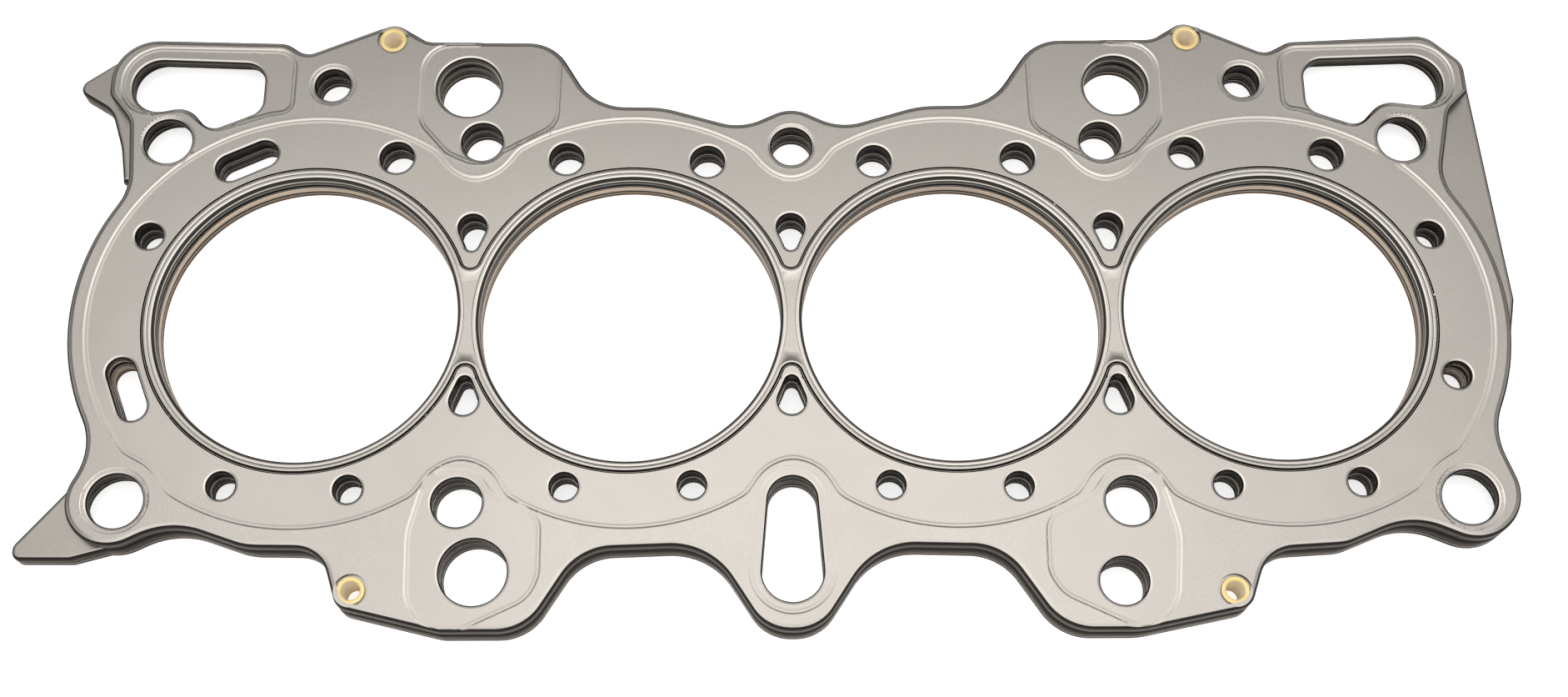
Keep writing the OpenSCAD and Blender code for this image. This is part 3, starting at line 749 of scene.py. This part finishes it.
class Nodes:
    """Short ways to add and link the shader nodes of a material or world."""

    def __init__(self, owner):
        owner.use_nodes = True
        self.owner = owner
        self.tree = owner.node_tree
        self.tree.nodes.clear()

    def add(self, kind, **values):
        """A new node; each value goes to the property or else the input of its name."""
        node = self.tree.nodes.new(kind)
        for key, value in values.items():
            if hasattr(node, key):
                setattr(node, key, value)
            else:
                node.inputs[key.replace("_", " ")].default_value = value
        return node

    def link(self, a, b):
        self.tree.links.new(a, b)

    def noise(self, place, scale, detail=3.0, roughness=0.55, stretch=None):
        if stretch:
            mapping = self.add("ShaderNodeMapping")
            mapping.inputs["Scale"].default_value = stretch
            self.link(place, mapping.inputs["Vector"])
            place = mapping.outputs["Vector"]
        node = self.add("ShaderNodeTexNoise", Scale=scale, Detail=detail, Roughness=roughness)
        self.link(place, node.inputs["Vector"])
        return node.outputs["Fac"]

    def axes(self, vector):
        """The X, Y and Z of a vector, by their names."""
        node = self.add("ShaderNodeSeparateXYZ")
        self.link(vector, node.inputs[0])
        return node.outputs

    def math(self, operation, value, other=None):
        """One sum; the second value is a number or a socket."""
        node = self.add("ShaderNodeMath", operation=operation)
        self.link(value, node.inputs[0])
        if hasattr(other, "node"):
            self.link(other, node.inputs[1])
        elif other is not None:
            node.inputs[1].default_value = other
        return node.outputs[0]

    def bore_radius(self, place):
        """Distance from the axis of the nearest bore; the bores repeat along X with their pitch."""
        axes = self.axes(place)
        half = PITCH / 2 * MM
        wrap = self.add("ShaderNodeMath", operation="WRAP")
        self.link(self.math("ADD", axes["X"], half), wrap.inputs[0])
        wrap.inputs[1].default_value, wrap.inputs[2].default_value = half, -half
        along = self.math("MULTIPLY", wrap.outputs[0], wrap.outputs[0])
        across = self.math("MULTIPLY", axes["Y"], axes["Y"])
        return self.math("SQRT", self.math("ADD", along, across))

    def ramp(self, factor, stops):
        """A colour ramp; each stop is a place from 0 to 1 with a colour or a grey."""
        node = self.add("ShaderNodeValToRGB")
        elements = node.color_ramp.elements
        while len(elements) < len(stops):
            elements.new(0.5)
        for element, (at, colour) in zip(elements, stops):
            element.position = at
            element.color = (*colour, 1) if hasattr(colour, "__len__") else (colour, colour, colour, 1)
        self.link(factor, node.inputs["Fac"])
        return node.outputs["Color"]

    def mix(self, factor, a, b, blend="MIX"):
        node = self.add("ShaderNodeMix", data_type="RGBA", blend_type=blend)
        for value, socket in ((factor, node.inputs[0]), (a, node.inputs[6]), (b, node.inputs[7])):
            if hasattr(value, "node"):
                self.link(value, socket)
            else:
                socket.default_value = value
        return node.outputs[2]

    def bump(self, height, strength, distance):
        node = self.add("ShaderNodeBump", Strength=strength, Distance=distance)
        self.link(height, node.inputs["Height"])
        return node.outputs["Normal"]

    def principled(self, colour, roughness, normal, metallic=1.0):
        shader = self.add("ShaderNodeBsdfPrincipled", Metallic=metallic)
        self.link(colour, shader.inputs["Base Color"])
        self.link(roughness, shader.inputs["Roughness"])
        self.link(normal, shader.inputs["Normal"])
        self.finish(shader, "ShaderNodeOutputMaterial")

    def finish(self, shader, kind):
        """Links a shader to the output of a material or world."""
        self.link(shader.outputs[0], self.add(kind).inputs["Surface"])


def steel(name, light, dark, wall, rough, lit_bore_wall=None, painted_lip_shade=None, under=None, smudge=0.35, shade_bands=None,
          hole_light_and_shade_bands=None):
    """Satin steel: cloudy tone, fine grain, scratches and smudges, with toned cut edges, lips and underside; the dark
    tones of edges, lips and underside are painted shade, slopes get painted highlight, and bore walls painted light.

    Rough is the lowest and highest roughness. Bands are heights over the whole stack, from 0 to 1, with the share of
    the walls' tone that is left there: of all walls, or of those away from the bores. They paint shade onto the
    walls, with bright lines of painted highlight left between.
    """
    n = Nodes(bpy.data.materials.new(name))
    place = n.add("ShaderNodeTexCoord").outputs["Object"]
    cloud = n.noise(place, 14, 4, 0.6)
    fine = n.noise(place, 900, 2, 0.6)
    grit = n.noise(place, 2600, 2, 0.7)
    sheen = n.noise(place, 60, 3, 0.6)
    scratch = n.noise(place, 40, 2, 0.5, (2, 60, 2))
    patch = n.noise(place, 5.5, 5, 0.55)
    tone = n.ramp(cloud, [(0.3, dark), (0.7, light)])
    tone = n.mix(0.22, tone, n.ramp(fine, [(0.25, dark), (0.75, light)]))
    tone = n.mix(0.3, tone, n.ramp(grit, [(0.3, scaled(dark, 0.8)), (0.7, scaled(light, 1.1))]))
    tone = n.mix(n.ramp(patch, [(0.60, 0.0), (0.72, smudge)]), tone, (*scaled(dark, 0.85), 1))

    # How the face leans: 0 for a wall, 1 for a flat. Gentle slopes get a painted highlight: they are painted brighter
    # than the flats
    upward = n.axes(n.add("ShaderNodeNewGeometry").outputs["Normal"])["Z"]
    level = n.math("ABSOLUTE", upward)
    tone = n.mix(n.ramp(level, [(0.96, 1.0), (0.992, 0.0)]), tone, (*scaled(light, 1.25), 1))
    # Faces turned down can get the under tone: painted shade beneath the part
    if under:
        downward = n.math("MULTIPLY", upward, -1.0)
        tone = n.mix(n.ramp(downward, [(0.3, 0.0), (0.6, 1.0)]), tone, (*under, 1))

    # Walls, streaked along the sheet: their dark tone is painted shade, and their lighter tone in the bores is
    # painted light
    height = n.math("DIVIDE", n.axes(place)["Z"], Z_LAND * MM)
    shaded_hole_tone = (*wall, 1)
    # Hole walls darkened by height with painted shade, leaving bright bands of painted highlight where sheet edges
    # catch light
    if hole_light_and_shade_bands:
        shaded_hole_tone = n.mix(1.0, n.ramp(height, hole_light_and_shade_bands), shaded_hole_tone, "MULTIPLY")
    lit_bore_mask = n.ramp(n.bore_radius(place), [(BORE_WALL_R * MM, 1.0), ((BORE_WALL_R + 0.5) * MM, 0.0)])
    wall_tone = n.mix(lit_bore_mask, shaded_hole_tone, (*(lit_bore_wall or wall), 1))
    streak = n.ramp(n.noise(place, 30, 4, 0.6, (1, 1, 25)), [(0.3, 0.55), (0.7, 1.0)])
    wall_tone = n.mix(1.0, wall_tone, streak, "MULTIPLY")
    # Dark bands by height on all walls: painted shade lines between the sheets
    if shade_bands:
        wall_tone = n.mix(1.0, wall_tone, n.ramp(height, shade_bands), "MULTIPLY")
    # Rounded lips get a near-black tone: painted shade, standing in for their dark reflections and contact shadow
    if painted_lip_shade:
        wall_tone = n.mix(n.ramp(level, [(0.12, 0.0), (0.25, 1.0)]), wall_tone, (*painted_lip_shade, 1))
        tone = n.mix(n.ramp(level, [(0.89, 0.0), (0.955, 1.0)]), wall_tone, tone)
    else:
        tone = n.mix(n.ramp(level, [(0.25, 0.0), (0.8, 1.0)]), wall_tone, tone)

    # Roughness
    low, high = rough
    dull = n.ramp(sheen, [(0.25, low), (0.75, high)])
    dull = n.mix(n.ramp(scratch, [(0.62, 0.0), (0.70, 0.06)]), dull, (*[high * 1.2] * 3, 1))
    n.principled(tone, dull, n.bump(fine, 0.06, 0.00003))
    return n.owner


def brass():
    """Gold-toned brass, duller inside the tube than on the rolled ends; its paler inside is painted light for the
    floor seen through it.
    """
    n = Nodes(bpy.data.materials.new("eyelet_brass"))
    place = n.add("ShaderNodeTexCoord").outputs["Object"]
    cloud = n.noise(place, 260, 3)
    fine = n.noise(place, 2500, 2)
    tone = n.ramp(cloud, [(0.3, (0.97, 0.70, 0.28)), (0.7, (1.0, 0.81, 0.40))])
    rough = n.ramp(cloud, [(0.3, 0.32), (0.7, 0.42)])
    upward = n.axes(n.add("ShaderNodeNewGeometry").outputs["Normal"])["Z"]
    # The tube's inside: a pale tone that is painted light standing in for the white floor, and a higher roughness
    inside = n.ramp(n.math("ABSOLUTE", upward), [(0.1, 1.0), (0.5, 0.0)])
    tone = n.mix(inside, tone, (1.0, 0.94, 0.82, 1))
    rough = n.mix(inside, rough, (0.75, 0.75, 0.75, 1))
    n.principled(tone, rough, n.bump(fine, 0.05, 0.00002), 0.55)
    return n.owner


# The dark wall tones below are painted shade; the lighter tones of the bore walls are painted light
SHEET = steel("sheet_steel", (0.74, 0.705, 0.665), (0.66, 0.63, 0.595), (0.10, 0.09, 0.08), (0.24, 0.30),
              painted_lip_shade=(0.05, 0.046, 0.042))
# The ring's near-black under tone is painted shade beneath it
RING = steel("ring_steel", (0.80, 0.765, 0.72), (0.74, 0.71, 0.675), (0.8, 0.76, 0.7), (0.13, 0.18),
             lit_bore_wall=(1.0, 0.965, 0.92), painted_lip_shade=(0.08, 0.073, 0.067), under=(0.02, 0.018, 0.016), smudge=0.1,
             shade_bands=[(0.67, 0.03), (0.69, 0.35), (0.72, 0.35), (0.735, 0.06), (0.76, 0.06), (0.775, 1.0)])
# The inner sheets' hole walls carry painted shade with bands of painted highlight
INNER = steel("inner_steel", (0.72, 0.68, 0.635), (0.63, 0.60, 0.56), (0.30, 0.265, 0.23), (0.30, 0.40),
              lit_bore_wall=(0.90, 0.76, 0.63), painted_lip_shade=(0.05, 0.045, 0.04),
              hole_light_and_shade_bands=[(0.28, 0.1), (0.30, 0.8), (0.33, 0.1), (0.41, 0.1), (0.43, 1.0), (0.47, 1.0), (0.49, 0.15)])
# The shims are near-black: painted shade in the gaps between the sheets
SHIM_SHADE = steel("shim_steel", (0.04, 0.036, 0.033), (0.02, 0.018, 0.017), (0.015, 0.013, 0.011), (0.5, 0.65))
BASE = steel("base_steel", (0.66, 0.62, 0.57), (0.55, 0.51, 0.46), (0.12, 0.095, 0.075), (0.34, 0.46),
             lit_bore_wall=(0.30, 0.19, 0.12))
BRASS = brass()

top_sheet(SHEET)
plain_sheet("upper_sheet", "upper_sheet_cut", INNER, "inner_steel", 0.12, 0.12)
plain_sheet("upper_shim", "upper_shim_cut", SHIM_SHADE, "shim_steel", 0.05, 0.05)
plain_sheet("spacer_sheet", "spacer_sheet_cut", INNER, "inner_steel", 0.3, 0.2, 1.3)
plain_sheet("lower_shim", "lower_shim_cut", SHIM_SHADE, "shim_steel", 0.05, 0.05)
plain_sheet("bottom_sheet", "bottom_sheet_cut", BASE, "base_steel", 0.15, 0.15)
for i in range(4):
    bore_ring(i, RING)
    eyelet(i, BRASS)


# Studio


# Colours of the floor as the camera sees it and as the metal mirrors it
FLOOR_TO_CAMERA = (0.92, 0.92, 0.92, 1)
FLOOR_TO_METAL = (0.8, 0.78, 0.755, 1)
# Light that the floor gives to the camera alone, so that it reads white through the holes
FLOOR_GLOW = 0.62
FLOOR_SIZE = 6.0
# The floor lies this far under the part, so that their faces don't fight
FLOOR_GAP = 0.00005


def floor():
    mesh = bpy.data.meshes.new("floor")
    mesh.from_pydata([(x * FLOOR_SIZE, y * FLOOR_SIZE, 0) for x, y in ((-1, -1), (1, -1), (1, 1), (-1, 1))], [],
                     [(0, 1, 2, 3)])
    piece = bpy.data.objects.new("floor", mesh)
    piece.location.z = -FLOOR_GAP
    bpy.context.scene.collection.objects.link(piece)
    n = Nodes(bpy.data.materials.new("floor"))
    to_camera = n.add("ShaderNodeLightPath").outputs["Is Camera Ray"]
    diffuse = n.add("ShaderNodeBsdfDiffuse")
    n.link(n.mix(to_camera, FLOOR_TO_METAL, FLOOR_TO_CAMERA), diffuse.inputs["Color"])
    glow = n.add("ShaderNodeEmission")
    n.link(n.math("MULTIPLY", to_camera, FLOOR_GLOW), glow.inputs["Strength"])
    both = n.add("ShaderNodeAddShader")
    n.link(diffuse.outputs[0], both.inputs[0])
    n.link(glow.outputs[0], both.inputs[1])
    n.finish(both, "ShaderNodeOutputMaterial")
    mesh.materials.append(n.owner)


def softbox(name, x, y, z, width, depth, radiance, colour, mirrored=True):
    """A flat lamp that faces down; one that isn't mirrored lights the floor and leaves the metal alone."""
    lamp = bpy.data.lights.new(name, "AREA")
    lamp.shape = "RECTANGLE"
    lamp.size, lamp.size_y = width, depth
    lamp.energy = radiance * math.pi * width * depth
    lamp.color = colour
    piece = bpy.data.objects.new(name, lamp)
    piece.location = (x, y, z)
    piece.visible_camera = False
    piece.visible_glossy = mirrored
    bpy.context.scene.collection.objects.link(piece)


# Brightness of the room against the rise of the direction, from 0 level to 1 straight up: all round, and behind the
# part, where it is darker because the pressed slopes mirror it
ROOM = [(0.0, 0.62), (0.55, 0.55), (0.80, 0.22), (1.0, 0.1)]
ROOM_BEHIND = [(0.0, 0.62), (0.36, 0.50), (0.60, 0.08), (1.0, 0.05)]
ROOM_TONE = (0.99, 0.985, 0.97)


def world():
    """A room that is bright near the horizon and dark above; the camera itself sees white."""
    room = bpy.data.worlds.new("studio")
    bpy.context.scene.world = room
    n = Nodes(room)
    direction = n.axes(n.add("ShaderNodeTexCoord").outputs["Generated"])
    around, behind = [n.ramp(direction["Z"], [(at, scaled(ROOM_TONE, level)) for at, level in stops])
                      for stops in (ROOM, ROOM_BEHIND)]
    rear = n.add("ShaderNodeMapRange", From_Min=0.1, From_Max=0.4)
    n.link(direction["Y"], rear.inputs["Value"])
    fill = n.add("ShaderNodeBackground")
    n.link(n.mix(rear.outputs[0], around, behind), fill.inputs["Color"])
    white = n.add("ShaderNodeBackground", Color=(1, 1, 1, 1))
    path = n.add("ShaderNodeLightPath")
    mix = n.add("ShaderNodeMixShader")
    n.link(n.math("MAXIMUM", path.outputs["Is Camera Ray"], path.outputs["Is Transmission Ray"]), mix.inputs[0])
    n.link(fill.outputs[0], mix.inputs[1])
    n.link(white.outputs[0], mix.inputs[2])
    n.finish(mix, "ShaderNodeOutputWorld")


# The photograph's camera, fitted to the bores and the plate's outline: turns in degrees, focal length and image width
# in pixels, and place in millimetres, with its height over the top sheet
CAMERA_TURNS = (69.333, 1.187, 0.961)
FOCAL_PIXELS, IMAGE_PIXELS = 2532.81, 1882
CAMERA_PLACE = (-6.341, -215.872, 546.294)
SENSOR_WIDTH = 36


def camera():
    pitch, yaw, roll = [math.radians(turn) for turn in CAMERA_TURNS]
    d = Vector((math.sin(yaw) * math.cos(pitch), math.cos(yaw) * math.cos(pitch), -math.sin(pitch)))
    right = Vector((math.cos(yaw), -math.sin(yaw), 0))
    up = right.cross(d)
    right, up = (math.cos(roll) * right + math.sin(roll) * up, math.cos(roll) * up - math.sin(roll) * right)
    data = bpy.data.cameras.new("camera")
    data.sensor_width = SENSOR_WIDTH
    data.lens = FOCAL_PIXELS / IMAGE_PIXELS * SENSOR_WIDTH
    data.clip_start = 0.01
    piece = bpy.data.objects.new("camera", data)
    matrix = Matrix((right, up, -d)).transposed().to_4x4()
    x, y, z = CAMERA_PLACE
    matrix.translation = Vector((x, y, z + Z_LAND)) * MM
    piece.matrix_world = matrix
    bpy.context.scene.collection.objects.link(piece)
    bpy.context.scene.camera = piece


floor()
world()
LAMP_TONE = (1.0, 0.975, 0.945)
# Place, width, depth and radiance of each lamp; they lie over one another, so the light is strongest in the middle
softbox("overhead", 0, 0.085, 0.62, 1.04, 0.83, 0.53, LAMP_TONE)
softbox("overhead_near", 0, 0.0, 0.618, 1.04, 0.66, 0.16, LAMP_TONE)
softbox("overhead_middle", 0, 0.05, 0.615, 0.72, 0.48, 0.20, LAMP_TONE)
softbox("overhead_core", 0, 0.08, 0.61, 0.36, 0.32, 0.22, LAMP_TONE)
softbox("floor_fill", 0, 0, 1.6, 3.0, 3.0, 1.1, (1.0, 1.0, 1.0), mirrored=False)
camera()
bpy.context.scene.view_settings.view_transform = "Standard"
